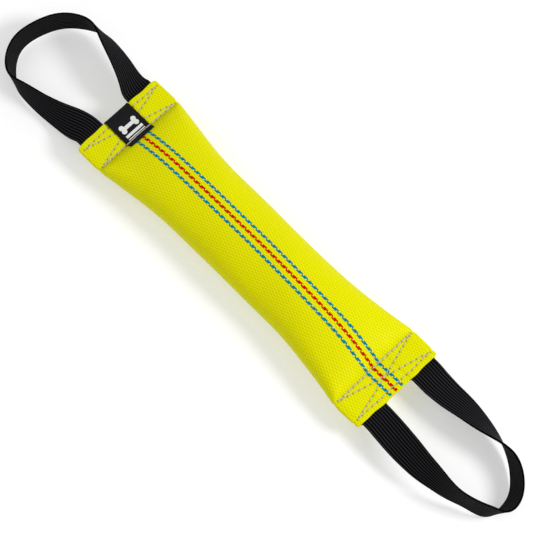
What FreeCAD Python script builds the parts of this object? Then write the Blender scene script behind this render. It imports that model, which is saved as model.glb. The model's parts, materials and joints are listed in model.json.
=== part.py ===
import FreeCAD, Part
import Sketcher
import math
import os
from FreeCAD import Placement, Rotation, Vector

# A bite tug: a stuffed length of flat fire hose with a webbing hand loop sewn into the flat hem at each
# end. Millimetres, +Z up, X along the hose from the end that wears the folded label (-X) to the plain end
# (+X). The origin is the middle of the flat belly that the tug rests on.

SIZES = [
    ("hose_length", 317.0, "cut length of the hose"),
    ("hose_flat_width", 84.8, "width of the hose where it lies flat, at a hem"),
    ("hem_thick", 5.5, "thickness of a sewn hem"),
    ("hem_length", 27.0, "from a cut end to the foot of the shoulder"),
    ("axis_height", 21.5, "middle of the hems above the floor"),
    ("body_width", 67.2, "width of the stuffed middle"),
    ("body_height", 45.0, "height of the stuffed middle before the belly is pressed flat"),
    ("body_half_length", 46.0, "half the length of the even middle stretch"),
    ("jacket_wall", 1.25, "woven jacket"),
    ("lining_wall", 0.5, "rubber lining"),
    ("filling_gap", 0.3, "slack between the lining and the filling"),
    ("webbing_width", 25.0, "hand loop webbing"),
    ("webbing_thick", 2.0, "hand loop webbing"),
    ("webbing_offset", 26.0, "middle of a leg of webbing from the middle of the hem"),
    ("hinge_gap", 3.0, "from the cut end of the hose to the line the loop turns about"),
    ("nose_clearance", 1.8, "from the hinge line to the tip of the sewn-in tail"),
    ("nose_setback", 0.7, "how far the tail's edges stand back from its tip"),
    ("marker_width", 2.4, "one marker line, two yarns wide"),
    ("marker_pitch", 6.0, "from one marker line to the next"),
    ("marker_centre", 1.0, "the middle marker line, from the middle of the hose"),
    ("marker_proud", 0.2, "how far a marker line stands above the jacket"),
    ("marker_deep", 0.5, "how far a marker line goes into the jacket"),
    ("label_width", 25.0, "woven label"),
    ("label_reach", 31.5, "from the fold at the hem's end to the label's free edge"),
    ("label_thick", 0.6, "woven label"),
    ("label_lift", 0.4, "gap between the hem and the label, where the stitches beneath it stand"),
    ("label_fold_inset", 1.3, "middle of the label's fold, in from the cut end of the hose"),
    ("label_bend_inset", 26.7, "where the label starts to lean away with the shoulder"),
    ("label_lean", 54.0, "lean of the label's ends, in degrees"),
    ("emblem_thick", 0.25, "raised emblem on the label"),
    ("emblem_length", 17.0, "the emblem, across the label"),
    ("bone_inset", 14.7, "middle of the emblem's bone, in from the cut end of the hose"),
    ("knob_radius", 2.2, "rounded ends of the bone"),
    ("knob_offset", 1.9, "middle of a knob from the middle line of the bone"),
    ("shaft_width", 3.2, "the bone between its knobs"),
    ("wide_bar_inset", 21.4, "middle of the emblem's wide bar, in from the cut end of the hose"),
    ("wide_bar_width", 2.4, "the wide bar, along the hose"),
    ("narrow_bar_inset", 24.2, "middle of the emblem's narrow bar, in from the cut end of the hose"),
    ("narrow_bar_width", 0.8, "the narrow bar, along the hose"),
    ("thread_radius", 0.4, "sewing thread"),
    ("thread_sunk", 0.2, "how far a stitch's centre line lies under the surface it is sewn into"),
    ("stitch_pitch", 5.25, "from one needle hole to the next"),
    ("stitch_length", 4.3, "visible run of thread in one stitch"),
    ("outer_row_inset", 4.6, "from a cut end to the outer row of stitches"),
    ("inner_row_inset", 26.0, "from a cut end to the inner row of stitches"),
    ("row_side_inset", 3.0, "from the side of the hem to the last stitch"),
    ("cross_inset", 3.3, "from a corner where two rows end to the first stitch of the diagonal"),
    ("label_row_inset", 1.0, "from the side of the label to the last stitch over it"),
    ("label_row_clearance", 0.5, "bare hem beside the label, where the row beneath it stops"),
    ("overcut", 10.0, "how far a box that trims the hose reaches past it"),
]

# The shoulder between the flat hem and the full body: distance from its foot, and how far the width and the
# height have gone there, from their values at the hem (0) to those at the body (1).
SHOULDER = [
    (0.0, 0.0, 0.0),
    (8.0, 0.20, 0.40),
    (20.0, 0.44, 0.62),
    (34.0, 0.64, 0.775),
    (50.0, 0.80, 0.88),
    (67.0, 0.93, 0.96),
]
# The sides of a section are rounded with this share of its half height: all of it at the hem.
SIDE_ROUND = 0.8

# The hand loops' centre lines: poles of a clamped cubic spline, each the distance out from the hinge line,
# the distance across, the height, and the roll of the webbing in degrees: 0 lies flat, 90 stands on edge.
LABEL_END_ROUTE = [
    (0.0, -26.0, 21.5, 0.0),
    (2.4, -26.0, 21.5, 0.0),
    (6.7, -26.5, 22.0, 28.1),
    (15.9, -29.3, 25.5, 43.4),
    (49.6, -38.8, 26.5, 58.5),
    (67.5, -39.8, 23.7, 91.5),
    (93.8, -22.7, 18.5, 96.6),
    (104.8, 16.3, 13.9, 96.0),
    (83.2, 38.2, 13.0, 109.9),
    (69.7, 39.1, 14.4, 77.1),
    (27.0, 32.1, 15.3, 57.9),
    (7.5, 26.4, 20.9, 2.0),
    (2.4, 26.0, 21.5, 0.0),
    (0.0, 26.0, 21.5, 0.0),
]
PLAIN_END_ROUTE = [
    (0.0, -26.0, 21.5, 0.0),
    (2.4, -26.0, 21.5, 0.0),
    (8.6, -26.3, 21.4, 2.1),
    (53.9, -31.3, 26.8, 42.7),
    (92.0, -26.6, 22.3, 91.1),
    (111.9, -16.5, 16.4, 73.4),
    (119.5, -7.8, 12.8, 121.1),
    (116.3, 11.7, 12.1, 110.9),
    (94.7, 28.8, 16.7, 103.0),
    (65.2, 28.9, 21.8, 47.7),
    (18.4, 25.5, 19.6, 10.8),
    (6.7, 25.8, 21.3, 1.0),
    (2.4, 26.0, 21.5, 0.0),
    (0.0, 26.0, 21.5, 0.0),
]
ROUTE_SECTIONS = 27
SPLINE_DEGREE = 3

UP = Vector(0, 0, 1)
# Turns a sketch so that its x runs along +Y and its y along +Z.
ACROSS_THE_HOSE = Rotation(Vector(0, 1, 0), Vector(0, 0, 1), Vector(1, 0, 0), "ZXY")

doc = FreeCAD.newDocument("bite_tug")
sheet = doc.addObject("Spreadsheet::Sheet", "Sizes")
for row, (alias, value, meaning) in enumerate(SIZES, start=1):
    sheet.set(f"A{row}", meaning)
    sheet.set(f"B{row}", str(value))
    sheet.setAlias(f"B{row}", alias)
doc.recompute()

subparts = []


def size(alias):
    return float(getattr(sheet, alias))


def finished(obj, label):
    """Names an object as one of the tug's pieces."""
    obj.Label = label
    subparts.append(obj)
    return obj


# ---------------------------------------------------------------- the hose and its filling

def share(flat, full, part):
    return f"({flat} + {part} * ({full} - {flat}))"


def section(name, along, width_part, height_part, inset):
    """A cross section of the hose: four arcs in a smooth ring, or at a hem two arcs and two lines."""
    half_width = share("Sizes.hose_flat_width", "Sizes.body_width", width_part) + f" / 2 - ({inset})"
    outer_height = share("Sizes.hem_thick", "Sizes.body_height", height_part) + " / 2"
    flat = height_part == 0
    half_height = f"{outer_height} - ({inset})"
    side = half_height if flat else f"{SIDE_ROUND} * {outer_height} - ({inset})"

    sketch = doc.addObject("Sketcher::SketchObject", name)
    sketch.Placement = Placement(Vector(0, 0, 0), ACROSS_THE_HOSE)
    sketch.setExpression(".Placement.Base.x", along)
    sketch.setExpression(".Placement.Base.z", "Sizes.axis_height")

    a, b, r = (value_of(sketch, text) for text in (half_width, half_height, side))
    if flat:
        lean = 0.0
    else:
        crown = ((a - r) ** 2 + b * b - r * r) / (2 * (b - r))
        lean = math.atan2(a - r, crown - b)
    corner = math.pi / 2 - lean
    right, left = Vector(a - r, 0, 0), Vector(r - a, 0, 0)

    def arc(centre, radius, start, end):
        return Part.ArcOfCircle(Part.Circle(centre, UP, radius), start, end)

    sketch.addGeometry(arc(right, r, -corner, corner))
    if flat:
        sketch.addGeometry(Part.LineSegment(right + Vector(0, r, 0), left + Vector(0, r, 0)))
    else:
        sketch.addGeometry(arc(Vector(0, b - crown, 0), crown, corner, math.pi - corner))
    sketch.addGeometry(arc(left, r, math.pi - corner, math.pi + corner))
    if flat:
        sketch.addGeometry(Part.LineSegment(left - Vector(0, r, 0), right - Vector(0, r, 0)))
    else:
        sketch.addGeometry(arc(Vector(0, crown - b, 0), crown, math.pi + corner, 2 * math.pi - corner))
    for edge in range(4):
        sketch.addConstraint(Sketcher.Constraint("Tangent", edge, 2, (edge + 1) % 4, 1))
    sketch.addConstraint(Sketcher.Constraint("PointOnObject", 0, 3, -1))
    sketch.addConstraint(Sketcher.Constraint("PointOnObject", 2, 3, -1))
    sketch.addConstraint(Sketcher.Constraint("Equal", 0, 2))
    bound(sketch, Sketcher.Constraint("DistanceX", -1, 1, 0, 3, a - r), f"{half_width} - ({side})")
    bound(sketch, Sketcher.Constraint("DistanceX", 2, 3, -1, 1, a - r), f"{half_width} - ({side})")
    bound(sketch, Sketcher.Constraint("Radius", 0, r), side)
    if not flat:
        sketch.addConstraint(Sketcher.Constraint("Equal", 1, 3))
        reach = f"({half_width} - ({side}))"
        rise = f"({half_height} - ({side}))"
        bound(sketch, Sketcher.Constraint("Radius", 1, crown),
              f"({reach} * {reach} + {rise} * ({half_height} + {side})) / (2 * {rise})")
    return sketch


def value_of(obj, text):
    return float(obj.evalExpression(text))


def bound(sketch, constraint, text):
    """Adds a dimension to a sketch and binds it to the sheet."""
    index = sketch.addConstraint(constraint)
    sketch.setExpression(f"Constraints[{index}]", text)


def loft(name, sections, ruled=False):
    obj = doc.addObject("Part::Loft", name)
    obj.Sections = sections
    obj.Solid = True
    obj.Ruled = ruled
    return obj


def hose_form(name, inset, floor, hems=True):
    """A solid the shape of the hose, inset by a distance and pressed flat at a height above the floor."""
    seam = "(Sizes.hose_length / 2 - Sizes.hem_length)"
    stations = [(f"{seam} - {out}", w, h) for out, w, h in SHOULDER]
    if not hems:
        stations = stations[1:]
    stations.append(("Sizes.body_half_length", 1, 1))
    middle = [("0", 1, 1)]
    there = [(f"-({along})", w, h) for along, w, h in stations]
    stuffed = there + middle + stations[::-1]
    pieces = [loft(f"{name}_stuffed", [section(f"{name}_section_{i}", *station, inset)
                                      for i, station in enumerate(stuffed)])]
    if hems:
        for side, sign in (("label_end", "-"), ("plain_end", "")):
            ends = [(f"{sign}{seam}", 0, 0), (f"{sign}Sizes.hose_length / 2", 0, 0)]
            pieces.append(loft(f"{name}_{side}", [section(f"{name}_{side}_{i}", *station, inset)
                                                 for i, station in enumerate(ends)], ruled=True))
        whole = doc.addObject("Part::MultiFuse", f"{name}_whole")
        whole.Shapes = pieces
    else:
        whole = pieces[0]
    above = box(f"{name}_above", z=floor, Height="Sizes.body_height",
                x="-Sizes.hose_length / 2 - Sizes.overcut", Length="Sizes.hose_length + 2 * Sizes.overcut",
                y="-Sizes.hose_flat_width / 2 - Sizes.overcut",
                Width="Sizes.hose_flat_width + 2 * Sizes.overcut")
    pressed = doc.addObject("Part::MultiCommon", name)
    pressed.Shapes = [whole, above]
    return pressed


def place(obj, **bases):
    for axis, text in bases.items():
        obj.setExpression(f".Placement.Base.{axis}", text)


def box(name, x, y, z, **sides):
    obj = doc.addObject("Part::Box", name)
    for side, text in sides.items():
        obj.setExpression(side, text)
    place(obj, x=x, y=y, z=z)
    return obj


def cut(name, base, tool):
    obj = doc.addObject("Part::Cut", name)
    obj.Base = base
    obj.Tool = tool
    return obj


JACKET = "Sizes.jacket_wall"
LINING = f"{JACKET} + Sizes.lining_wall"
FILLING = f"{LINING} + Sizes.filling_gap"

outside = hose_form("hose_outside", "0", "0")
under_jacket = hose_form("under_jacket", JACKET, JACKET)
under_lining = hose_form("under_lining", LINING, LINING)
finished(cut("jacket", outside, under_jacket), "hose_jacket")
finished(cut("lining", under_jacket, under_lining), "hose_lining")
finished(hose_form("filling", FILLING, FILLING, hems=False), "filling")

# The coloured yarns woven along the crown: strips of the jacket's own surface, a little proud of it.
marker_top = hose_form("marker_top", "-Sizes.marker_proud", "0")
marker_bottom = hose_form("marker_bottom", "Sizes.marker_deep", "Sizes.marker_deep")
marker_skin = cut("marker_skin", marker_top, marker_bottom)
for side, step in (("right", -1), ("middle", 0), ("left", 1)):
    strip = box(f"strip_{side}", x="-Sizes.hose_length / 2", z="Sizes.axis_height",
                y=f"Sizes.marker_centre + {step} * Sizes.marker_pitch - Sizes.marker_width / 2",
                Length="Sizes.hose_length", Width="Sizes.marker_width", Height="Sizes.body_height")
    marker = doc.addObject("Part::MultiCommon", f"marker_{side}")
    marker.Shapes = [marker_skin, strip]
    finished(marker, f"marker_line_{side}")


# ---------------------------------------------------------------- pieces padded across the hose

def new_body(name):
    body = doc.addObject("PartDesign::Body", name)
    body.AllowCompound = True
    return body


def origin_feature(body, role):
    return next(feature for feature in body.Origin.OriginFeatures if feature.Role == role)


def side_sketch(body, name, start):
    """A sketch in the body's XZ plane, moved along Y to where its pad starts."""
    sketch = body.newObject("Sketcher::SketchObject", name)
    sketch.AttachmentSupport = [(origin_feature(body, "XZ_Plane"), "")]
    sketch.MapMode = "FlatFace"
    sketch.setExpression(".AttachmentOffset.Base.z", f"-({start})")
    return sketch


def pad_along_y(body, sketch, length):
    pad = body.newObject("PartDesign::Pad", f"{body.Name}_pad")
    pad.Profile = sketch
    pad.Reversed = True
    pad.setExpression("Length", length)
    return pad


def polyline(sketch, corners, closed=False):
    """Straight edges from corner to corner, each corner bound to the sheet by its two coordinates."""
    points = [Vector(*(value_of(sketch, text) for text in corner), 0) for corner in corners]
    ends = points[1:] + points[:1] if closed else points[1:]
    edges = [sketch.addGeometry(Part.LineSegment(start, end)) for start, end in zip(points, ends)]
    for i, (corner, point) in enumerate(zip(corners, points)):
        edge, vertex = (edges[i], 1) if i < len(edges) else (edges[-1], 2)
        bound(sketch, Sketcher.Constraint("DistanceX", -1, 1, edge, vertex, point.x), corner[0])
        bound(sketch, Sketcher.Constraint("DistanceY", -1, 1, edge, vertex, point.y), corner[1])
    for i in range(len(edges) - (0 if closed else 1)):
        sketch.addConstraint(Sketcher.Constraint("Coincident", edges[i], 2, edges[(i + 1) % len(edges)], 1))
    return edges[0]


# The ends of the webbing, sewn between the two layers of a hem. The end that shows is a blunt nose, so that
# the loop can turn about the hinge line beyond it.

def webbing_tail(name, turned, side):
    body = new_body(name)
    start = f"{side} * Sizes.webbing_offset - Sizes.webbing_width / 2"
    sketch = side_sketch(body, f"{name}_profile", start)
    inner = "Sizes.hose_length / 2 - Sizes.hem_length"
    tip = "Sizes.hose_length / 2 + Sizes.hinge_gap - Sizes.nose_clearance"
    shoulder = f"{tip} - Sizes.nose_setback"
    half = "Sizes.webbing_thick / 2"
    corners = [(inner, f"-{half}"), (shoulder, f"-{half}"), (tip, "0"), (shoulder, half), (inner, half)]
    polyline(sketch, corners, closed=True)
    pad_along_y(body, sketch, "Sizes.webbing_width")
    body.Placement = Placement(Vector(0, 0, 0), Rotation(UP, 180 if turned else 0))
    place(body, z="Sizes.axis_height")
    return finished(body, name)


for end, turned in (("label_end", True), ("plain_end", False)):
    for leg, side in (("first", -1), ("second", 1)):
        webbing_tail(f"webbing_tail_{end}_{leg}", turned, side)


# ---------------------------------------------------------------- the stitching

def stitch_row(name, centre, angle, span, skip_label=False, lift="0"):
    """Stitches on both faces of a hem, in a row through centre. Angle 0 runs straight across the hose."""
    body = new_body(name)
    count = f"round(({span}) / Sizes.stitch_pitch)"
    start = f"-({span}) / 2 + (Sizes.stitch_pitch - Sizes.stitch_length) / 2"
    sketch = side_sketch(body, f"{name}_profile", start)
    depth = f"Sizes.hem_thick / 2 - Sizes.thread_sunk + {lift}"
    for i, face in enumerate(("", "-")):
        height = value_of(sketch, f"{face}({depth})")
        radius = size("thread_radius")
        sketch.addGeometry(Part.Circle(Vector(0, height, 0), UP, radius))
        sketch.addConstraint(Sketcher.Constraint("PointOnObject", i, 3, -2))
        bound(sketch, Sketcher.Constraint("DistanceY", -1, 1, i, 3, height), f"{face}({depth})")
        bound(sketch, Sketcher.Constraint("Radius", i, radius), "Sizes.thread_radius")
    pad = pad_along_y(body, sketch, "Sizes.stitch_length")
    doc.recompute()
    row = body.newObject("PartDesign::LinearPattern", f"{name}_row")
    row.Originals = [pad]
    row.Direction = (origin_feature(body, "Y_Axis"), [""])
    row.setExpression("Length", f"({span}) * ({count} - 1) / {count}")
    row.setExpression("Occurrences", count)
    body.Tip = row
    if skip_label:
        doc.recompute()
        full = body.Shape.Volume
        window = side_sketch(body, f"{name}_window", "-Sizes.label_width / 2 - Sizes.label_row_clearance")
        reach = "Sizes.thread_radius * 2"
        high = "Sizes.hem_thick"
        corners = [(f"-{reach}", f"-{high}"), (reach, f"-{high}"), (reach, high), (f"-{reach}", high)]
        polyline(window, corners, closed=True)
        pocket = body.newObject("PartDesign::Pocket", f"{name}_gap")
        pocket.Profile = window
        pocket.setExpression("Length", "Sizes.label_width + 2 * Sizes.label_row_clearance")
        doc.recompute()
        assert body.Shape.Volume < full, "the gap under the label removes stitches"
    body.Placement = Placement(Vector(0, 0, 0), Rotation(UP, 0))
    body.setExpression(".Placement.Rotation.Angle", angle)
    place(body, x=centre, z="Sizes.axis_height")
    return finished(body, name)


ROW_SPAN = "Sizes.hose_flat_width - 2 * Sizes.row_side_inset"
ROW_GAP = "(Sizes.inner_row_inset - Sizes.outer_row_inset)"
for end, sign in (("label_end", "-"), ("plain_end", "")):
    outer_row = f"{sign}(Sizes.hose_length / 2 - Sizes.outer_row_inset)"
    inner_row = f"{sign}(Sizes.hose_length / 2 - Sizes.inner_row_inset)"
    between = f"{sign}(Sizes.hose_length / 2 - (Sizes.inner_row_inset + Sizes.outer_row_inset) / 2)"
    diagonal = f"sqrt({ROW_GAP}^2 + ({ROW_SPAN})^2) - 2 * Sizes.cross_inset"
    lean = f"atan({ROW_GAP} / ({ROW_SPAN}))"
    stitch_row(f"stitches_{end}_outer_row", outer_row, "0 deg", ROW_SPAN)
    stitch_row(f"stitches_{end}_inner_row", inner_row, "0 deg", ROW_SPAN, skip_label=sign == "-")
    stitch_row(f"stitches_{end}_cross_one", between, lean, diagonal)
    stitch_row(f"stitches_{end}_cross_two", between, f"-{lean}", diagonal)


# ---------------------------------------------------------------- the label

def label():
    """A strip folded round the end of the hem; past the inner row its ends lean away with the shoulders."""
    body = new_body("label")
    sketch = side_sketch(body, "label_profile", "-Sizes.label_width / 2")
    fold = "-Sizes.hose_length / 2 + Sizes.label_fold_inset"
    bend = "-Sizes.hose_length / 2 + Sizes.label_bend_inset"
    edge = "-Sizes.hose_length / 2 + Sizes.label_reach"
    under = "Sizes.hem_thick / 2 + Sizes.label_lift"
    over = f"{under} + Sizes.label_thick"
    rise = "tan(Sizes.label_lean * 1 deg)"
    leaf = [
        (fold, under),
        (bend, under),
        (edge, f"{under} + ({edge} - ({bend})) * {rise}"),
        (f"{edge} - Sizes.label_thick * sin(Sizes.label_lean * 1 deg)",
         f"{under} + ({edge} - ({bend})) * {rise} + Sizes.label_thick * cos(Sizes.label_lean * 1 deg)"),
        (f"{bend} - Sizes.label_thick * tan(Sizes.label_lean * 0.5 deg)", over),
        (fold, over),
    ]
    upper_end = polyline(sketch, leaf)
    lower_end = polyline(sketch, [(x, f"-({y})") for x, y in leaf])
    lines = len(leaf) - 1
    for radius, line, point in ((under, 0, 1), (over, lines - 1, 2)):
        circle = Part.Circle(Vector(value_of(sketch, fold), 0, 0), UP, value_of(sketch, radius))
        arc = sketch.addGeometry(Part.ArcOfCircle(circle, math.pi / 2, 3 * math.pi / 2))
        sketch.addConstraint(Sketcher.Constraint("Coincident", arc, 1, upper_end + line, point))
        sketch.addConstraint(Sketcher.Constraint("Coincident", arc, 2, lower_end + line, point))
        bound(sketch, Sketcher.Constraint("DistanceX", -1, 1, arc, 3, value_of(sketch, fold)), fold)
    pad_along_y(body, sketch, "Sizes.label_width")
    place(body, z="Sizes.axis_height")
    return finished(body, "label")


label()


def stitches_over_label():
    """The inner row goes on across the label, on its two faces."""
    lift = "Sizes.label_lift + Sizes.label_thick"
    inner_row = "-(Sizes.hose_length / 2 - Sizes.inner_row_inset)"
    span = "Sizes.label_width - 2 * Sizes.label_row_inset"
    stitch_row("stitches_over_label", inner_row, "0 deg", span, lift=lift)


stitches_over_label()


def emblem():
    """A plain bone lying across the label, and two bars between it and the inner row of stitches."""
    base = "Sizes.axis_height + Sizes.hem_thick / 2 + Sizes.label_lift + Sizes.label_thick"
    middle = "-Sizes.hose_length / 2 + Sizes.bone_inset"
    knob_across = "(Sizes.emblem_length / 2 - Sizes.knob_radius)"
    pieces = []
    for along in (-1, 1):
        for across in (-1, 1):
            knob = doc.addObject("Part::Cylinder", "bone_knob")
            knob.setExpression("Radius", "Sizes.knob_radius")
            knob.setExpression("Height", "Sizes.emblem_thick")
            place(knob, x=f"{middle} + {along} * Sizes.knob_offset", y=f"{across} * {knob_across}", z=base)
            pieces.append(knob)
    pieces.append(box("bone_shaft", x=f"{middle} - Sizes.shaft_width / 2", y=f"-{knob_across}", z=base,
                      Length="Sizes.shaft_width", Width=f"2 * {knob_across}", Height="Sizes.emblem_thick"))
    bone = doc.addObject("Part::MultiFuse", "bone")
    bone.Shapes = pieces
    bars = []
    for bar in ("wide", "narrow"):
        width = f"Sizes.{bar}_bar_width"
        bars.append(box(f"{bar}_bar", x=f"-Sizes.hose_length / 2 + Sizes.{bar}_bar_inset - {width} / 2",
                        y="-Sizes.emblem_length / 2", z=base,
                        Length=width, Width="Sizes.emblem_length", Height="Sizes.emblem_thick"))
    whole = doc.addObject("Part::Compound", "emblem")
    whole.Links = [bone] + bars
    return finished(whole, "label_emblem")


emblem()


# ---------------------------------------------------------------- the hand loops

def clamped_spline(poles):
    spans = len(poles) - SPLINE_DEGREE
    curve = Part.BSplineCurve()
    curve.buildFromPolesMultsKnots(poles, [SPLINE_DEGREE + 1] + [1] * (spans - 1) + [SPLINE_DEGREE + 1],
                                   [float(i) for i in range(spans + 1)], False, SPLINE_DEGREE)
    return curve


def webbing_loop(name, route, sign):
    """A strap of flat webbing lofted along its centre line, with a half-round root at each end."""
    hinge = size("hose_length") / 2 + size("hinge_gap")
    half = Vector(size("webbing_width") / 2, size("webbing_thick") / 2, 0)
    line = clamped_spline([Vector(sign * (hinge + out), sign * across, up) for out, across, up, _ in route])
    turn = clamped_spline([Vector(roll, 0, 0) for *_, roll in route])
    steps = line.toShape().discretize(ROUTE_SECTIONS)
    sections = []
    for i, point in enumerate(steps):
        at = line.parameter(point)
        forward = Vector(*line.tangent(at)[0])
        level = UP.cross(forward).normalize()
        roll = math.radians(turn.value(at).x)
        wide = level * math.cos(roll) + forward.cross(level) * math.sin(roll)
        turned = Rotation(wide, forward.cross(wide), forward, "ZXY")
        cross_section = doc.addObject("Part::Plane", f"{name}_section_{i}")
        cross_section.setExpression("Length", "Sizes.webbing_width")
        cross_section.setExpression("Width", "Sizes.webbing_thick")
        cross_section.Placement = Placement(point - turned.multVec(half), turned)
        sections.append(cross_section)
    pieces = [loft(f"{name}_strap", sections)]
    for leg in (-1, 1):
        root = doc.addObject("Part::Cylinder", f"{name}_root")
        root.setExpression("Radius", "Sizes.webbing_thick / 2")
        root.setExpression("Height", "Sizes.webbing_width")
        root.Placement = Placement(Vector(0, 0, 0), Rotation(Vector(1, 0, 0), -90))
        place(root, x=f"{sign} * (Sizes.hose_length / 2 + Sizes.hinge_gap)", z="Sizes.axis_height",
              y=f"{leg} * Sizes.webbing_offset - Sizes.webbing_width / 2")
        pieces.append(root)
    whole = doc.addObject("Part::MultiFuse", name)
    whole.Shapes = pieces
    return finished(whole, name)


webbing_loop("hand_loop_label_end", LABEL_END_ROUTE, -1)
webbing_loop("hand_loop_plain_end", PLAIN_END_ROUTE, 1)

# ---------------------------------------------------------------- check and write

doc.recompute()
for obj in doc.Objects:
    if "Invalid" in obj.State or "Error" in obj.State:
        raise RuntimeError(f"{obj.Label} did not recompute: {obj.State}")
for obj in subparts:
    if obj.Shape.isNull() or not obj.Shape.isValid():
        raise RuntimeError(f"{obj.Label} has no valid shape")
os.makedirs("parts", exist_ok=True)
for obj in subparts:
    obj.Shape.exportStep(f"parts/{obj.Label}.step")
    print(f"{obj.Label}: {len(obj.Shape.Solids)} solids, {obj.Shape.Volume:.1f} mm3")
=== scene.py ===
import json
import math

import bpy
import numpy as np
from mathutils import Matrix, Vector


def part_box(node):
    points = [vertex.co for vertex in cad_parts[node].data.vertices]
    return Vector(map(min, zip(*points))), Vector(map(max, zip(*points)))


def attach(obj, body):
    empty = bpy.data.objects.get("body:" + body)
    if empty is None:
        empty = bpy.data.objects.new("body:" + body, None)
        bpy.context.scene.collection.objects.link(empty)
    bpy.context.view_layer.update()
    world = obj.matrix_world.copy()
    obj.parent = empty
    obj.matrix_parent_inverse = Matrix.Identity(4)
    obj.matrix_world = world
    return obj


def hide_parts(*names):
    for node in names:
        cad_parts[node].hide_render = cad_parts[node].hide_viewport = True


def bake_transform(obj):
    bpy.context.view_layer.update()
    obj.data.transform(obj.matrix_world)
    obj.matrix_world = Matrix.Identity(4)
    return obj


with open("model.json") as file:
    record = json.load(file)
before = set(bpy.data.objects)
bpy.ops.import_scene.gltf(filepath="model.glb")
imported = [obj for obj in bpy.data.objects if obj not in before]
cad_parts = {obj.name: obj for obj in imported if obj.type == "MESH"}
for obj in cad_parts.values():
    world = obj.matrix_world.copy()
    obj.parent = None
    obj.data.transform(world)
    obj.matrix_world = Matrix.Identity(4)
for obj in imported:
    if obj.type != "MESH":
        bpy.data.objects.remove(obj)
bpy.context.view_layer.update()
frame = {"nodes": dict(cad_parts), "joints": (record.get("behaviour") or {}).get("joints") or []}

# Lengths in this script are millimetres. add_mesh() turns them into metres.
MM = 0.001


def box_mm(node):
    return [np.array(corner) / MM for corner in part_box(node)]


def middle_mm(node, axis):
    low, high = box_mm(node)
    return (low[axis] + high[axis]) / 2


# From the frame: the hose's half length, the height of its middle plane, the webbing inside a hem, the two
# rows of stitches at the plain end, and the line that a loop turns about.
HALF_LENGTH = box_mm("hose_jacket")[1][0]
TAIL_LOW, TAIL_HIGH = box_mm("webbing_tail_plain_end_second")
AXIS = middle_mm("webbing_tail_plain_end_second", 2)
LEG_OFFSET = middle_mm("webbing_tail_plain_end_second", 1)
WEBBING_WIDTH = TAIL_HIGH[1] - TAIL_LOW[1]
WEBBING_THICK = TAIL_HIGH[2] - TAIL_LOW[2]
INNER_ROW_X = middle_mm("stitches_plain_end_inner_row", 0)
OUTER_ROW_X = middle_mm("stitches_plain_end_outer_row", 0)
HINGE_X = -next(joint for joint in frame["joints"] if joint["child"] == "label_end_loop")["pos_m"][0] / MM

# The hose: flat at its hems, stuffed in its even middle, with a shoulder between them.
FLAT_HALF_WIDTH = 42.4
BODY_HALF_WIDTH = 33.6
HEM_HALF_THICK = 2.75
BODY_HALF_HEIGHT = 22.5
HEM_LENGTH = 27.0
HEM_FOOT = HALF_LENGTH - HEM_LENGTH
BODY_HALF_LENGTH = 46.0
SHOULDER_LENGTH = HEM_FOOT - BODY_HALF_LENGTH
JACKET_WALL = 1.1
JACKET_RIM = 0.4
LINING_DEPTHS = (0.03, 0.55)
LINING_RIM = 0.15
LINING_SETBACK = 0.9

# Its sewing. A thread is its radius, and the length of each stitch that lies on the cloth.
STITCH_PITCH = 5.25
ROW_SIDE_INSET = 3.0
DIAGONAL_SIDE_INSET = 2.6
DIAGONAL_ROW_GAP = 0.8
FINE_THREAD = (0.27, 4.1)
BOLD_THREAD = (0.44, 4.5)
LABEL_THREAD = (0.48, 4.7)
THREAD_POINTS = 8
THREAD_RISE = 0.30
THREAD_DIVE = 1.15
ROW_BOW = 0.35

# Its weave, and the marker lines of two yarns each. A yarn floats over the cloth and dives by turns.
YARN_PERIOD = 5.7
YARN_WIDTH = 1.2
MARKER_PITCH = 6.0
MARKER_YARN_PITCH = 1.15
MARKER_YARN_HALF_WIDTH = 0.66
MARKER_YARN_HALF_HEIGHT = 0.34
MARKER_YARN_LAG = 0.3
MARKER_STEP = 0.36
MARKER_END_GAP = 0.3
MARKER_DIVE = 0.62
MARKER_RISE = 0.68

# The webbing's ribs, its rounded edges, and the points along a loop.
RIBS = 11
RIB_PITCH = WEBBING_WIDTH / RIBS
RIB_DEPTH = 0.42
RIB_POINTS = 8
WEBBING_EDGE = 0.9
LOOP_STEP = 1.4
LEAD_POINTS = 19

# The label and its emblem. A bar is how far its middle lies in from the emblem's edge, and half its width.
LABEL_LIFT = 0.2
LABEL_CLEAR = 0.1
LABEL_WAVE = 0.10
LABEL_CURL = 0.15
LABEL_END_RISE = 0.25
LABEL_THICK = 0.5
LABEL_HALF_WIDTH = 12.5
LABEL_REACH = 31.5
LABEL_FOLD_INSET = 2.2
LABEL_LEAF_ROWS = 56
LABEL_COLUMNS = 29
KNOB_RADIUS = 2.2
KNOB_OFFSET = 1.9
SHAFT_HALF_WIDTH = 1.6
EMBLEM_BARS = ((3.2, 1.2), (0.4, 0.4))
EMBLEM_PROUD = 0.13
EMBLEM_THICK = 0.3

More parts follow.
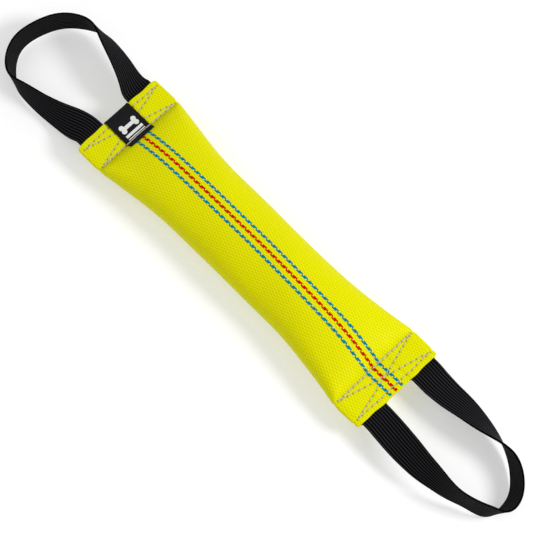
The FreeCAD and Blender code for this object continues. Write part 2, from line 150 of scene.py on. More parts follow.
# The hand loops' centre lines: poles of a clamped cubic spline, each the distance out from the hinge line,
# the distance across, the height, and the roll of the webbing in degrees: 0 lies flat, 90 stands on edge.
LABEL_END_ROUTE = [
    (0.0, -26.0, 21.5, 0.0),
    (2.4, -26.0, 21.5, 0.0),
    (6.7, -26.5, 22.0, 28.1),
    (15.9, -29.3, 25.5, 43.4),
    (49.6, -38.8, 26.5, 58.5),
    (67.5, -39.8, 23.7, 91.5),
    (93.8, -22.7, 18.5, 96.6),
    (104.8, 16.3, 13.9, 96.0),
    (83.2, 38.2, 13.0, 109.9),
    (69.7, 39.1, 14.4, 77.1),
    (27.0, 32.1, 15.3, 57.9),
    (7.5, 26.4, 20.9, 2.0),
    (2.4, 26.0, 21.5, 0.0),
    (0.0, 26.0, 21.5, 0.0),
]
PLAIN_END_ROUTE = [
    (0.0, -26.0, 21.5, 0.0),
    (2.4, -26.0, 21.5, 0.0),
    (8.6, -26.3, 21.4, 2.1),
    (53.9, -31.3, 26.8, 42.7),
    (92.0, -26.6, 22.3, 91.1),
    (111.9, -16.5, 16.4, 73.4),
    (119.5, -7.8, 12.8, 121.1),
    (116.3, 11.7, 12.1, 110.9),
    (94.7, 28.8, 16.7, 103.0),
    (65.2, 28.9, 21.8, 47.7),
    (18.4, 25.5, 19.6, 10.8),
    (6.7, 25.8, 21.3, 1.0),
    (2.4, 26.0, 21.5, 0.0),
    (0.0, 26.0, 21.5, 0.0),
]

# The hose isn't quite even. Each is where along it, over what length, on which side, and how much wider.
UNEVEN_SIDES = [
    (-112.0, 24.0, 1, 0.8),
    (-135.0, 14.0, -1, 0.4),
    (128.0, 22.0, -1, 1.0),
    (150.0, 16.0, -1, 0.6),
    (95.0, 22.0, 1, 0.8),
    (-95.0, 25.0, 1, 0.4),
    (-98.0, 27.0, -1, 0.45),
    (95.0, 27.0, -1, 0.5),
    (-158.0, 12.0, -1, 0.5),
]

# The rows of stitches draw the hems' sides in. Each is where, over what length, and by how much.
DRAWN_IN = [
    (-OUTER_ROW_X, 1.8, 0.25),
    (-INNER_ROW_X, 2.6, 0.8),
    (OUTER_ROW_X, 1.6, 0.75),
    (INNER_ROW_X, 1.8, 0.7),
]

# ---------------- camera, light and floor

CAMERA_TARGET = Vector((0.0158, -0.00266, 0.021))
CAMERA_AZIMUTH = math.radians(46.0)
CAMERA_ELEVATION = math.radians(71.5)
CAMERA_DISTANCE = 1.938
CAMERA_LENS = 168.2


def look(obj, target):
    obj.rotation_mode = "QUATERNION"
    obj.rotation_quaternion = (target - obj.location).to_track_quat("-Z", "Y")


def camera():
    level = math.cos(CAMERA_ELEVATION)
    back = Vector((math.sin(CAMERA_AZIMUTH) * level, -math.cos(CAMERA_AZIMUTH) * level,
                   math.sin(CAMERA_ELEVATION)))
    data = bpy.data.cameras.new("camera")
    data.lens = CAMERA_LENS
    data.sensor_width = 36.0
    obj = bpy.data.objects.new("camera", data)
    bpy.context.scene.collection.objects.link(obj)
    obj.location = CAMERA_TARGET + back * CAMERA_DISTANCE
    look(obj, CAMERA_TARGET)
    bpy.context.scene.camera = obj


def area_light(name, place, size, power):
    data = bpy.data.lights.new(name, "AREA")
    data.shape = "DISK"
    data.size = size
    data.energy = power
    obj = bpy.data.objects.new(name, data)
    bpy.context.scene.collection.objects.link(obj)
    obj.location = place
    look(obj, Vector((0, 0, 0)))


def studio():
    scene = bpy.context.scene
    scene.view_settings.view_transform = "Standard"
    world = bpy.data.worlds.new("studio")
    world.use_nodes = True
    sky = world.node_tree.nodes["Background"].inputs
    sky["Color"].default_value = (1.0, 1.0, 1.0, 1.0)
    sky["Strength"].default_value = 0.58
    scene.world = world
    area_light("key", (1.15, 0.85, 1.35), 0.6, 25.0)
    area_light("fill", (-1.1, -0.6, 1.6), 1.4, 5.0)


camera()
studio()


# ---------------- meshes

def add_mesh(name, points, faces, materials=(), smooth=True, **attributes):
    """A mesh object from points in mm. Attributes are numbers or pairs, by point or by face corner."""
    mesh = bpy.data.meshes.new(name)
    metres = np.asarray(points, float) * MM
    mesh.from_pydata(metres.tolist(), [], [list(map(int, face)) for face in faces])
    for material in materials:
        mesh.materials.append(material)
    mesh.polygons.foreach_set("use_smooth", [smooth] * len(mesh.polygons))
    for key, values in attributes.items():
        values = np.asarray(values, np.float32)
        domain = "POINT" if len(values) == len(mesh.vertices) else "CORNER"
        if values.ndim == 1:
            mesh.attributes.new(key, "FLOAT", domain).data.foreach_set("value", values)
        else:
            full = np.zeros((len(values), 3), np.float32)
            full[:, :values.shape[1]] = values
            mesh.attributes.new(key, "FLOAT_VECTOR", domain).data.foreach_set("vector", full.ravel())
    mesh.update()
    obj = bpy.data.objects.new(name, mesh)
    bpy.context.scene.collection.objects.link(obj)
    return obj


def grid_faces(rows, columns, closed=False, start=0, flip=False):
    """Quads between rows of points. A closed grid joins its last column to its first."""
    across = columns if closed else columns - 1
    i, j = np.meshgrid(np.arange(rows - 1), np.arange(across), indexing="ij")
    k = (j + 1) % columns
    quads = np.stack([i * columns + j, i * columns + k, (i + 1) * columns + k, (i + 1) * columns + j], -1)
    quads = quads.reshape(-1, 4) + start
    return quads[:, ::-1] if flip else quads


def unit(vectors):
    return vectors / np.linalg.norm(vectors, axis=-1, keepdims=True)


def sweep(centres, ups, outline):
    """Points and faces of a closed outline, (sideways, up) pairs, carried along a line of centres."""
    forward = unit(np.gradient(centres, axis=0))
    side = unit(np.cross(forward, ups))
    up = np.cross(side, forward)
    points = centres[:, None] + side[:, None] * outline[None, :, :1] + up[:, None] * outline[None, :, 1:]
    count = len(outline)
    faces = grid_faces(len(centres), count, closed=True).tolist()
    faces.append(list(range(count))[::-1])
    faces.append([(len(centres) - 1) * count + i for i in range(count)])
    return points.reshape(-1, 3), faces


def joined(pieces):
    """Several (points, faces) made into one."""
    points, faces, start = [], [], 0
    for piece_points, piece_faces in pieces:
        points.append(piece_points)
        faces += [[corner + start for corner in face] for face in piece_faces]
        start += len(piece_points)
    return np.concatenate(points), faces


def oval(half_width, half_height, count):
    angles = np.arange(count) * 2 * math.pi / count
    return np.stack([half_width * np.cos(angles), half_height * np.sin(angles)], -1)


def run_length(points):
    steps = np.linalg.norm(np.diff(points, axis=0), axis=1)
    return np.concatenate([[0.0], np.cumsum(steps)])


def smooth_step(low, high, value):
    share = np.clip((value - low) / (high - low), 0, 1)
    return share * share * (3 - 2 * share)


# ---------------- materials

class Nodes:
    """A short way to write a material's nodes. Keywords are values that are the same all over it."""

    def __init__(self, name, **principled):
        self.material = bpy.data.materials.new(name)
        self.material.use_nodes = True
        self.tree = self.material.node_tree
        self.shader = self.tree.nodes["Principled BSDF"]
        for socket, value in principled.items():
            self.shader.inputs[socket.replace("_", " ")].default_value = value

    def put(self, socket, value):
        if hasattr(value, "is_output"):
            self.tree.links.new(value, socket)
        else:
            socket.default_value = value

    def node(self, kind, *values, output=0, **settings):
        made = self.tree.nodes.new(kind)
        for key, value in settings.items():
            setattr(made, key, value)
        for socket, value in zip(made.inputs, values):
            if value is not None:
                self.put(socket, value)
        return made.outputs[output]

    def math(self, operation, *values, clamp=False):
        return self.node("ShaderNodeMath", *values, operation=operation, use_clamp=clamp)

    def attribute(self, name):
        made = self.tree.nodes.new("ShaderNodeAttribute")
        made.attribute_name = name
        return made

    def cloth(self):
        """The two distances along the cloth, in millimetres."""
        split = self.tree.nodes.new("ShaderNodeSeparateXYZ")
        self.tree.links.new(self.attribute("cloth").outputs["Vector"], split.inputs[0])
        return split.outputs[0], split.outputs[1]

    def noise(self, vector, scale, detail=2.0):
        made = self.tree.nodes.new("ShaderNodeTexNoise")
        self.put(made.inputs["Vector"], vector)
        made.inputs["Scale"].default_value = scale
        made.inputs["Detail"].default_value = detail
        return made.outputs["Fac"]

    def vector(self, x, y):
        return self.node("ShaderNodeCombineXYZ", x, y, 0.0)

    def place(self):
        """The place on the object itself, in metres."""
        return self.node("ShaderNodeTexCoord", output=3)

    def ramp(self, factor, *stops):
        made = self.tree.nodes.new("ShaderNodeValToRGB")
        self.put(made.inputs[0], factor)
        elements = made.color_ramp.elements
        while len(elements) < len(stops):
            elements.new(0.5)
        for element, (place, colour) in zip(elements, stops):
            element.position = place
            element.color = (*colour, 1.0)
        return made.outputs[0]

    def mix(self, factor, first, second):
        made = self.tree.nodes.new("ShaderNodeMix")
        made.data_type = "RGBA"
        self.put(made.inputs[0], factor)
        for socket, value in zip(made.inputs[6:8], (first, second)):
            self.put(socket, (*value, 1.0) if isinstance(value, tuple) else value)
        return made.outputs[2]

    def bump(self, height, depth_mm):
        made = self.tree.nodes.new("ShaderNodeBump")
        made.inputs["Distance"].default_value = depth_mm * MM
        self.put(made.inputs["Height"], height)
        return made.outputs[0]

    def finish(self, colour=None, roughness=None, normal=None):
        for name, value in (("Base Color", colour), ("Roughness", roughness), ("Normal", normal)):
            if value is not None:
                self.put(self.shader.inputs[name], value)
        return self.material


def woven(nodes, along, around, period, width):
    """Height of a cloth of warp yarns that float and dive by turns, each out of step with the next."""
    wave = nodes.math("SINE", nodes.math("MULTIPLY", along, 2 * math.pi / period))
    row = nodes.math("SINE", nodes.math("MULTIPLY", around, math.pi / width))
    floating = nodes.math("MULTIPLY_ADD", nodes.math("MULTIPLY", wave, nodes.math("SIGN", row)), 1.1, 0.55,
                          clamp=True)
    rounded = nodes.math("POWER", nodes.math("ABSOLUTE", row), 0.6)
    return nodes.math("MULTIPLY", rounded, nodes.math("MULTIPLY_ADD", floating, 0.75, 0.25))


def hose_material():
    """Fluorescent yellow polyester: filament yarns with a faint gloss, a little darker between them as
    painted shade; the needle holes are painted dark too, as painted shade.
    """
    nodes = Nodes("hose_yellow_weave", Specular_IOR_Level=0.035)
    along, around = nodes.cloth()
    uneven = nodes.noise(nodes.place(), 35.0, 3.0)
    height = woven(nodes, along, around, YARN_PERIOD, YARN_WIDTH)
    stretched = nodes.vector(nodes.math("MULTIPLY", along, 0.25), nodes.math("MULTIPLY", around, 4.0))
    filaments = nodes.noise(stretched, 1.6, 2.0)
    # Painted shade: the colour runs from light on the yarn tops to dark in the gaps between the yarns.
    colour = nodes.ramp(height, (0.0, (0.50, 0.49, 0.0)), (0.3, (0.695, 0.68, 0.0)),
                        (1.0, (0.81, 0.79, 0.002)))
    colour = nodes.mix(nodes.math("MULTIPLY", uneven, 0.2), colour, (0.69, 0.71, 0.0))
    # Painted shade: the needle holes are coloured nearly black.
    colour = nodes.mix(nodes.attribute("needle").outputs["Fac"], colour, (0.10, 0.095, 0.012))
    roughness = nodes.math("MULTIPLY_ADD", filaments, 0.2, 0.30)
    relief = nodes.math("MULTIPLY_ADD", filaments, 0.18, height)
    return nodes.finish(colour, roughness, nodes.bump(relief, 0.18))


def lining_material():
    nodes = Nodes("lining_yellow_rubber", Specular_IOR_Level=0.2)
    grain = nodes.noise(nodes.place(), 900.0, 3.0)
    colour = nodes.ramp(grain, (0.3, (0.50, 0.46, 0.03)), (0.7, (0.62, 0.58, 0.05)))
    return nodes.finish(colour, nodes.math("MULTIPLY_ADD", grain, 0.25, 0.5), nodes.bump(grain, 0.08))


def filling_material():
    nodes = Nodes("filling_fibre", Roughness=0.95, Sheen_Weight=0.3)
    clumps = nodes.noise(nodes.place(), 120.0, 5.0)
    colour = nodes.ramp(clumps, (0.3, (0.42, 0.40, 0.36)), (0.7, (0.75, 0.73, 0.68)))
    return nodes.finish(colour, None, nodes.bump(clumps, 1.5))


def webbing_material():
    """Black polypropylene webbing: the ribs are in the mesh, the cross weave is here. Its colour is lighter
    on the rib tops, a painted highlight, and near black between them, painted shade.
    """
    nodes = Nodes("webbing_black_weave", Specular_IOR_Level=0.02)
    along, around = nodes.cloth()
    weft = nodes.math("SINE", nodes.math("MULTIPLY", along, 2 * math.pi / 1.15))
    row = nodes.math("SINE", nodes.math("MULTIPLY", around, math.pi / 1.2))
    picks = nodes.math("MULTIPLY", nodes.math("MULTIPLY_ADD", weft, 0.5, 0.5),
                       nodes.math("MULTIPLY_ADD", nodes.math("SIGN", row), 0.2, 0.6))
    fibres = nodes.noise(nodes.vector(along, nodes.math("MULTIPLY", around, 5.0)), 1.3, 3.0)
    rib = nodes.math("ABSOLUTE", nodes.math("SINE", nodes.math("MULTIPLY", around, math.pi / RIB_PITCH)))
    top = nodes.math("MULTIPLY_ADD", fibres, 0.25, nodes.math("POWER", rib, 5.0), clamp=True)
    # Painted highlight on the rib tops and painted shade between the ribs: the colour follows the rib's
    # shape.
    colour = nodes.ramp(top, (0.15, (0.0004, 0.0004, 0.0005)), (1.0, (0.023, 0.023, 0.026)))
    wear = nodes.noise(nodes.vector(along, around), 0.06, 2.0)
    roughness = nodes.math("MULTIPLY_ADD", wear, 0.2, 0.34)
    relief = nodes.math("MULTIPLY_ADD", fibres, 0.35, picks)
    return nodes.finish(colour, roughness, nodes.bump(relief, 0.12))


def label_material():
    """Black satin ribbon with a very fine weave, its colour a little darker between the yarns as painted
    shade.
    """
    nodes = Nodes("label_black_satin", Specular_IOR_Level=0.13)
    along, around = nodes.cloth()
    height = woven(nodes, along, around, 0.9, 0.26)
    grain = nodes.noise(nodes.vector(along, around), 0.8, 3.0)
    # Painted shade: darker in the gaps of the weave, lighter on the yarn tops.
    colour = nodes.ramp(height, (0.0, (0.002, 0.002, 0.003)), (1.0, (0.009, 0.009, 0.011)))
    return nodes.finish(colour, nodes.math("MULTIPLY_ADD", grain, 0.2, 0.48), nodes.bump(height, 0.06))


def yarn_material(name, shade, lit):
    """Dyed filament yarn: its strands vary at random between a shaded and a lit copy of its colour, painted
    shade and painted light.
    """
    nodes = Nodes(name, Specular_IOR_Level=0.04)
    along, around = nodes.cloth()
    stretched = nodes.vector(nodes.math("MULTIPLY", along, 0.3), nodes.math("MULTIPLY", around, 6.0))
    strands = nodes.noise(stretched, 2.2, 2.0)
    # Painted shade and painted light: the strands mix the shaded and the lit colour.
    colour = nodes.ramp(strands, (0.3, shade), (0.7, lit))
    return nodes.finish(colour, nodes.math("MULTIPLY_ADD", strands, 0.2, 0.4), nodes.bump(strands, 0.2))


def thread_material():
    """Light twisted sewing thread, its colour darker in the grooves of the twist as painted shade."""
    nodes = Nodes("thread_light_twist", Roughness=0.62, Sheen_Weight=0.2)
    along, around = nodes.cloth()
    turn = nodes.math("MULTIPLY_ADD", along, 2 * math.pi / 0.9, around)
    twist = nodes.math("MULTIPLY_ADD", nodes.math("SINE", nodes.math("MULTIPLY", turn, 2.0)), 0.5, 0.5)
    # Painted shade: the colour is darker in the grooves of the twist.
    colour = nodes.ramp(twist, (0.0, (0.40, 0.38, 0.31)), (0.6, (0.68, 0.65, 0.57)))
    return nodes.finish(colour, None, nodes.bump(twist, 0.12))


def floor_material():
    """A pale, even floor with a little light of its own."""
    nodes = Nodes("floor_pale", Roughness=0.9, Emission_Color=(1.0, 1.0, 1.0, 1.0), Emission_Strength=0.36)
    tone = nodes.noise(nodes.place(), 3.0, 2.0)
    colour = nodes.ramp(tone, (0.0, (0.64, 0.64, 0.64)), (1.0, (0.66, 0.66, 0.66)))
    return nodes.finish(colour)


HOSE = hose_material()
LINING = lining_material()
FILLING = filling_material()
WEBBING = webbing_material()
LABEL = label_material()
# Each yarn's two colours are a shaded and a lit copy of its dye: painted shade and painted light.
EMBLEM = yarn_material("emblem_white_yarn", (0.62, 0.62, 0.60), (0.88, 0.88, 0.86))
RED_YARN = yarn_material("marker_red_yarn", (0.44, 0.001, 0.0), (0.68, 0.008, 0.002))
BLUE_YARN = yarn_material("marker_blue_yarn", (0.0, 0.12, 0.205), (0.0, 0.30, 0.405))
THREAD = thread_material()


# ---------------- the hose's cover

def hem_rows():
    """The two rows and the two diagonals of stitches of one hem, as ((x, y), (x, y)) at the plain end."""
    side = FLAT_HALF_WIDTH - ROW_SIDE_INSET
    corner = side - DIAGONAL_SIDE_INSET
    out, back = OUTER_ROW_X - DIAGONAL_ROW_GAP, INNER_ROW_X + DIAGONAL_ROW_GAP
    return {
        "outer_row": ((OUTER_ROW_X, -side), (OUTER_ROW_X, side)),
        "inner_row": ((INNER_ROW_X, -side), (INNER_ROW_X, side)),
        "cross_one": ((out, corner), (back, -corner)),
        "cross_two": ((out, -corner), (back, corner)),
    }


def section_sizes(x):
    """Half width, half height and side radius of the hose at distances x from its middle."""
    inward = np.clip(HEM_FOOT - np.abs(x), 0, SHOULDER_LENGTH)
    wide = 1 - (1 - inward / SHOULDER_LENGTH) ** 2.1
    eased = inward * (1 - np.exp(-inward / 2.5))
    high = (1 - (1 - eased / SHOULDER_LENGTH) ** 2) ** 0.52
    half_width = FLAT_HALF_WIDTH + wide * (BODY_HALF_WIDTH - FLAT_HALF_WIDTH)
    half_height = HEM_HALF_THICK + high * (BODY_HALF_HEIGHT - HEM_HALF_THICK)
    side = half_height * (0.995 - 0.195 * np.clip(high / 0.4, 0, 1))
    return half_width, half_height, side


def section(x, share):
    """Points and outward normals round the hose at x. Share runs 0 to 1 from the crown, first to +Y."""
    half_width, half_height, side = (np.asarray(v, float)[..., None] for v in section_sizes(x))
    reach = half_width - side
    crown = (reach ** 2 + half_height ** 2 - side ** 2) / (2 * (half_height - side))
    lean = np.arctan2(reach, crown - half_height)
    top = crown * lean
    round_side = side * (math.pi - 2 * lean)
    girth = 4 * top + 2 * round_side
    share = np.broadcast_to(share, np.broadcast_shapes(girth.shape, np.shape(share)))
    mirrored = share > 0.5
    run = np.where(mirrored, 1 - share, share) * girth
    on_top = run / crown
    on_side = lean + (run - top) / side
    on_bottom = math.pi - lean + (run - top - round_side) / crown
    first, second = run <= top, run <= top + round_side
    angle = np.where(first, on_top, np.where(second, on_side, on_bottom))
    radius = np.where(first | ~second, crown, side)
    middle_y = np.where(first | ~second, 0.0, reach)
    middle_z = np.where(first, half_height - crown, np.where(second, 0.0, crown - half_height))
    y = middle_y + radius * np.sin(angle)
    z = middle_z + radius * np.cos(angle)
    sign = np.where(mirrored, -1.0, 1.0)
    points = np.stack([np.broadcast_to(np.asarray(x, float)[..., None], y.shape), sign * y, AXIS + z], -1)
    normals = np.stack([np.zeros_like(y), sign * np.sin(angle), np.cos(angle)], -1)
    return points, normals, np.broadcast_to(girth, y.shape)


def waves(rng, count, longest, shortest):
    """A few crossing waves with fixed random directions, as a function of two distances. About -1 to 1."""
    lengths = np.exp(rng.uniform(math.log(shortest), math.log(longest), count))
    turns = rng.uniform(0, math.pi, count)
    phases = rng.uniform(0, 2 * math.pi, count)

    def height(first, second):
        total = np.zeros(np.broadcast_shapes(np.shape(first), np.shape(second)))
        for length, turn, phase in zip(lengths, turns, phases):
            ahead = first * math.cos(turn) + second * math.sin(turn)
            total = total + np.sin(2 * math.pi * ahead / length + phase)
        return total / math.sqrt(count)

    return height


# The simulation's frames, and how much of the shoulder's slope the flat-cut cloth allows for.
SIM_FRAMES = 24
SIM_SLOPE_SHARE = 0.75


class Cover:
    """The hose's jacket as a grid: rows along the hose, columns round it from the crown."""

    # The grids of the mesh and its simulation, how far that may move a point, and the shapes on top.
    COLUMNS = 352
    HEM_ROWS = 62
    MIDDLE_ROWS = 290
    SIM_COLUMNS = 72
    SIM_SPACING = 2.4
    MOST_MOVED = 3.0
    MOST_SUNK = 0.9
    LOWEST = 0.02
    LUMP_HEIGHT = 0.30
    TUCK_HEIGHT = 0.20
    GROOVE_DEPTH = 0.26
    HOLE_DEPTH = 0.45
    END_WAVE = 0.45
    END_CUT_BACK = 0.45
    HEM_WAVE = 0.5
    CORNER_CUT_BACK = 0.6
    CORNER_DRAWN_IN = 0.35

    def __init__(self):
        hem = np.linspace(HEM_FOOT - 3.0, HALF_LENGTH, self.HEM_ROWS)
        middle = np.linspace(-hem[0], hem[0], self.MIDDLE_ROWS)[1:-1]
        self.rows = np.concatenate([-hem[::-1], middle, hem])
        self.shares = np.arange(self.COLUMNS) / self.COLUMNS
        base, outward, girth = section(self.rows, self.shares)
        self.girth = girth[:, 0]
        base = base + self.blown_up()
        base[..., 2] = self.rested(base[..., 2])
        self.base = base
        self.along = run_length(base[:, 0])
        self.along -= self.along[-1] / 2
        self.base_normals = self.normals(base)
        self.signed_share = np.broadcast_to(self.shares - (self.shares > 0.5), girth.shape)
        self.run = self.signed_share * girth
        self.round_cloth = 2 * round(girth.mean() / (2 * YARN_WIDTH)) * YARN_WIDTH
        self.cloth = np.stack([np.broadcast_to(self.along[:, None], girth.shape),
                               self.signed_share * self.round_cloth], -1)
        self.quilt = self.quilting(base)
        height, self.needle = self.relief(base, outward)
        height = height + self.quilt
        points = base + self.base_normals * height[..., None] + self.wander(base)
        points[..., 2] = np.maximum(points[..., 2], self.LOWEST)
        self.points = points
        self.point_normals = self.normals(points)

    def rested(self, height):
        """Heights pressed flat where the belly meets the floor, with a soft edge."""
        soft = 0.5
        return np.where(height < soft, soft * np.exp(np.clip(height / soft - 1, -9, 0)), height)

    @staticmethod
    def normals(points):
        along = np.gradient(points, axis=0)
        around = np.roll(points, -1, axis=1) - np.roll(points, 1, axis=1)
        return unit(np.cross(along, around))

    def blown_up(self):
        """How far the stuffing moves each point: the hose is simulated as cloth that was cut flat."""
        reach = HEM_FOOT + 2 * self.SIM_SPACING
        rows = np.linspace(-reach, reach, int(2 * reach / self.SIM_SPACING) + 1)
        shares = np.arange(self.SIM_COLUMNS) / self.SIM_COLUMNS
        start, outward, _ = section(rows, shares)
        moved = simulate_hose(rows, shares, start) - start
        size = np.linalg.norm(moved, axis=-1, keepdims=True)
        moved *= np.tanh(size / self.MOST_MOVED) * self.MOST_MOVED / np.maximum(size, 1e-6)
        sunk = np.minimum((moved * outward).sum(-1) + self.MOST_SUNK, 0)
        moved -= outward * sunk[..., None]
        return np.einsum("fi,ijk,gj->fgk", spline_weights(self.rows, rows),
                         moved, spline_weights(self.shares, shares, periodic=True))

    @staticmethod
    def over_legs(y):
        """One over the webbing inside a hem, nought beside it."""
        return smooth_step(14.5, 11.0, np.abs(np.abs(y) - LEG_OFFSET))

    def quilting(self, base):
        """The hems are thinner where there is no webbing between their layers, most of all at the mouth."""
        inward = HEM_FOOT - np.abs(base[..., 0])
        y = base[..., 1]
        in_hem = smooth_step(1.0, -1.0, inward) * smooth_step(42.0, 39.5, np.abs(y))
        mouth = smooth_step(HALF_LENGTH - 15, HALF_LENGTH - 1, np.abs(base[..., 0]))
        leg = self.over_legs(y)
        return in_hem * (0.12 * leg - (0.42 + 0.36 * mouth) * (1 - leg))

    def relief(self, base, outward):
        """Height of the small shapes of the cloth above its broad form, and a mask of the needle holes,
        which the hose's colour paints dark as painted shade.
        """
        rng = np.random.default_rng(7)
        x, y = base[..., 0], base[..., 1]
        inward = HEM_FOOT - np.abs(x)
        above_belly = smooth_step(0.5, 0.42, np.abs(self.signed_share))
        lumps = waves(rng, 7, 110, 34)(x, self.run) * self.LUMP_HEIGHT * smooth_step(0, 30, inward)
        by_hem = np.exp(-((inward - 3.0) / 8.0) ** 2) * (inward > 0) * self.TUCK_HEIGHT
        tucks = by_hem * waves(rng, 5, 17, 8)(self.run + 40 * np.sign(x), x * 0.25)
        height = (lumps + tucks) * above_belly
        needle = np.zeros_like(height)
        flat_faces = np.abs(outward[..., 2]) > 0.9
        for (x0, y0), (x1, y1) in hem_rows().values():
            length = math.hypot(x1 - x0, y1 - y0)
            ahead = np.array([x1 - x0, y1 - y0]) / length
            run = (np.abs(x) - x0) * ahead[0] + (y - y0) * ahead[1]
            off = (np.abs(x) - x0) * ahead[1] - (y - y0) * ahead[0]
            pitch = length / round(length / STITCH_PITCH)
            from_hole = np.abs((run + pitch / 2) % pitch - pitch / 2)
            beside = flat_faces * smooth_step(-1.2, 0.2, run) * smooth_step(length + 1.2, length - 0.2, run)
            groove = beside * np.exp(-(off / 0.9) ** 2)
            hole = beside * np.exp(-(off ** 2 + from_hole ** 2) / 0.7 ** 2)
            height = height - self.GROOVE_DEPTH * groove - self.HOLE_DEPTH * hole
            needle = np.maximum(needle, hole)
        return height, needle

    def wander(self, base):
        """The hems aren't quite straight: ends wave, sides draw in at the rows, and corners are round."""
        rng = np.random.default_rng(21)
        x, y = base[..., 0], base[..., 1]
        half_width = np.abs(y).max(axis=1, keepdims=True)
        end = smooth_step(HALF_LENGTH - 14, HALF_LENGTH, np.abs(x))
        hem = smooth_step(HEM_FOOT - 4, HALF_LENGTH - 6, np.abs(x))
        cut = waves(rng, 4, 60, 14)(y, 70 * np.sign(x)) * self.END_WAVE * end
        lift = waves(rng, 3, 70, 30)(y, x * 0.3) * self.HEM_WAVE * hem
        drawn = sum(less * np.exp(-((x - place) / spread) ** 2) for place, spread, less in DRAWN_IN)
        wide = sum(more * np.exp(-((x - place) / spread) ** 2) * (y * side > 0)
                   for place, spread, side, more in UNEVEN_SIDES)
        aside = (wide - drawn) * smooth_step(30, 42, np.abs(y) * FLAT_HALF_WIDTH / half_width)
        corner = (smooth_step(HALF_LENGTH - 3.0, HALF_LENGTH, np.abs(x))
                  * smooth_step(FLAT_HALF_WIDTH - 4.0, FLAT_HALF_WIDTH, np.abs(y)) ** 2)
        ahead = cut - self.END_CUT_BACK * end - self.CORNER_CUT_BACK * corner
        aside = aside - self.CORNER_DRAWN_IN * corner
        return np.stack([np.sign(x) * ahead, np.sign(y) * aside, lift], -1)

    def at(self, grid, x, share):
        """Values of a grid at distances x along the hose and shares of the way round it."""
        row = np.interp(x, self.rows, np.arange(len(self.rows)))
        low = np.clip(row.astype(int), 0, len(self.rows) - 2)
        part = (row - low)[..., None]
        column = (np.asarray(share) % 1.0) * self.COLUMNS
        left = column.astype(int) % self.COLUMNS
        aside = (column - column.astype(int))[..., None]
        right = (left + 1) % self.COLUMNS
        near = grid[low, left] * (1 - aside) + grid[low, right] * aside
        far = grid[low + 1, left] * (1 - aside) + grid[low + 1, right] * aside
        return near * (1 - part) + far * part

    def share(self, x, y, face=1):
        """Share of the way round at which the run from the crown, or from the belly, is y."""
        run = y / np.interp(x, self.rows, self.girth)
        return run % 1.0 if face > 0 else (0.5 - run) % 1.0

    def wall(self, depth, rows, every=1):
        """Points some depth under the outside, with the hems' quilting but not the fine relief."""
        points = self.base + self.base_normals * (self.quilt - depth)[..., None] + self.wander(self.base)
        return points[rows][:, ::every]

    def inner_rows(self):
        """Every fifth row is enough inside the hose."""
        return np.append(np.arange(0, len(self.rows) - 1, 5), len(self.rows) - 1)

    def build(self):
        """The jacket: its outside with the relief, its plain inside, and rims at both cut ends."""
        rows = self.inner_rows()
        points, faces = double_wall(self.points, self.wall(JACKET_WALL, rows), JACKET_RIM)
        cloth = np.concatenate([self.cloth.reshape(-1, 2), self.cloth[rows].reshape(-1, 2),
                                self.cloth[0], self.cloth[-1]])
        # The needle holes' mask, which the hose's material paints dark as painted shade.
        needle = np.zeros(len(points))
        needle[:self.needle.size] = self.needle.ravel()
        corners = self.unbroken(cloth[faces])
        return add_mesh("hose_cover", points, faces, (HOSE,), cloth=corners, needle=needle)

    def unbroken(self, corners):
        """Cloth places by face corner, so that a face across the belly line doesn't jump back by a turn."""
        around = corners[..., 1]
        across_belly = np.ptp(around, axis=1, keepdims=True) > self.round_cloth / 2
        around[across_belly & (around < 0)] += self.round_cloth
        return corners.reshape(-1, 2)

    def build_lining(self):
        """The rubber inside the jacket: its two layers meet wherever a hem holds no webbing."""
        rows = self.inner_rows()
        outer, inner = (self.wall(JACKET_WALL + depth, rows, every=2) for depth in LINING_DEPTHS)
        for wall in (outer, inner):
            wall[0, :, 0] += LINING_SETBACK
            wall[-1, :, 0] -= LINING_SETBACK
        x, y, z = np.moveaxis(inner, -1, 0)
        hem = smooth_step(HEM_FOOT + 4, HEM_FOOT + 8, np.abs(x))
        met = hem * (1 - self.over_legs(y)) * smooth_step(41.0, 39.0, np.abs(y))
        inner[..., 2] = AXIS + (z - AXIS) * (1 - met) + np.sign(z - AXIS) * 0.04 * met
        points, faces = double_wall(outer, inner, LINING_RIM)
        return add_mesh("lining_skin", points, faces, (LINING,))


def double_wall(outer, inner, bulge):
    """A tube with a thickness: an outer and an inner grid of points, joined at the ends by round rims."""
    count = outer.shape[1]
    rims = [(outer[end] + inner[end]) / 2 + np.array([side * bulge, 0, 0])
            for end, side in ((0, -1), (-1, 1))]
    start_inner = len(outer) * count
    start_rims = start_inner + len(inner) * count
    faces = [grid_faces(len(outer), count, closed=True, flip=True),
             grid_faces(len(inner), count, closed=True, start=start_inner)]
    j = np.arange(count)
    k = (j + 1) % count
    for rim, first, last in ((0, 0, start_inner), (1, start_inner - count, start_rims - count)):
        middle = start_rims + rim * count
        for a, b in ((first, middle), (middle, last)):
            strip = np.stack([a + j, a + k, b + k, b + j], -1)
            faces.append(strip[:, ::-1] if rim else strip)
    return np.concatenate([outer.reshape(-1, 3), inner.reshape(-1, 3), *rims]), np.concatenate(faces)


def spline_weights(fine, coarse, periodic=False):
    """Cubic B-spline weights that carry values at evenly spaced coarse places to the fine ones."""
    step = coarse[1] - coarse[0]
    place = (np.asarray(fine) - coarse[0]) / step
    weights = np.zeros((len(fine), len(coarse)))
    for offset in range(-2, 4):
        index = np.floor(place).astype(int) + offset
        gap = np.abs(place - index)
        far = np.where(gap < 2, (2 - gap) ** 3 / 6, 0)
        value = np.where(gap < 1, 2 / 3 - gap ** 2 + gap ** 3 / 2, far)
        used = (index >= 0) & (index < len(coarse)) | periodic
        np.add.at(weights, (np.nonzero(used)[0], index[used] % len(coarse)), value[used])
    return weights


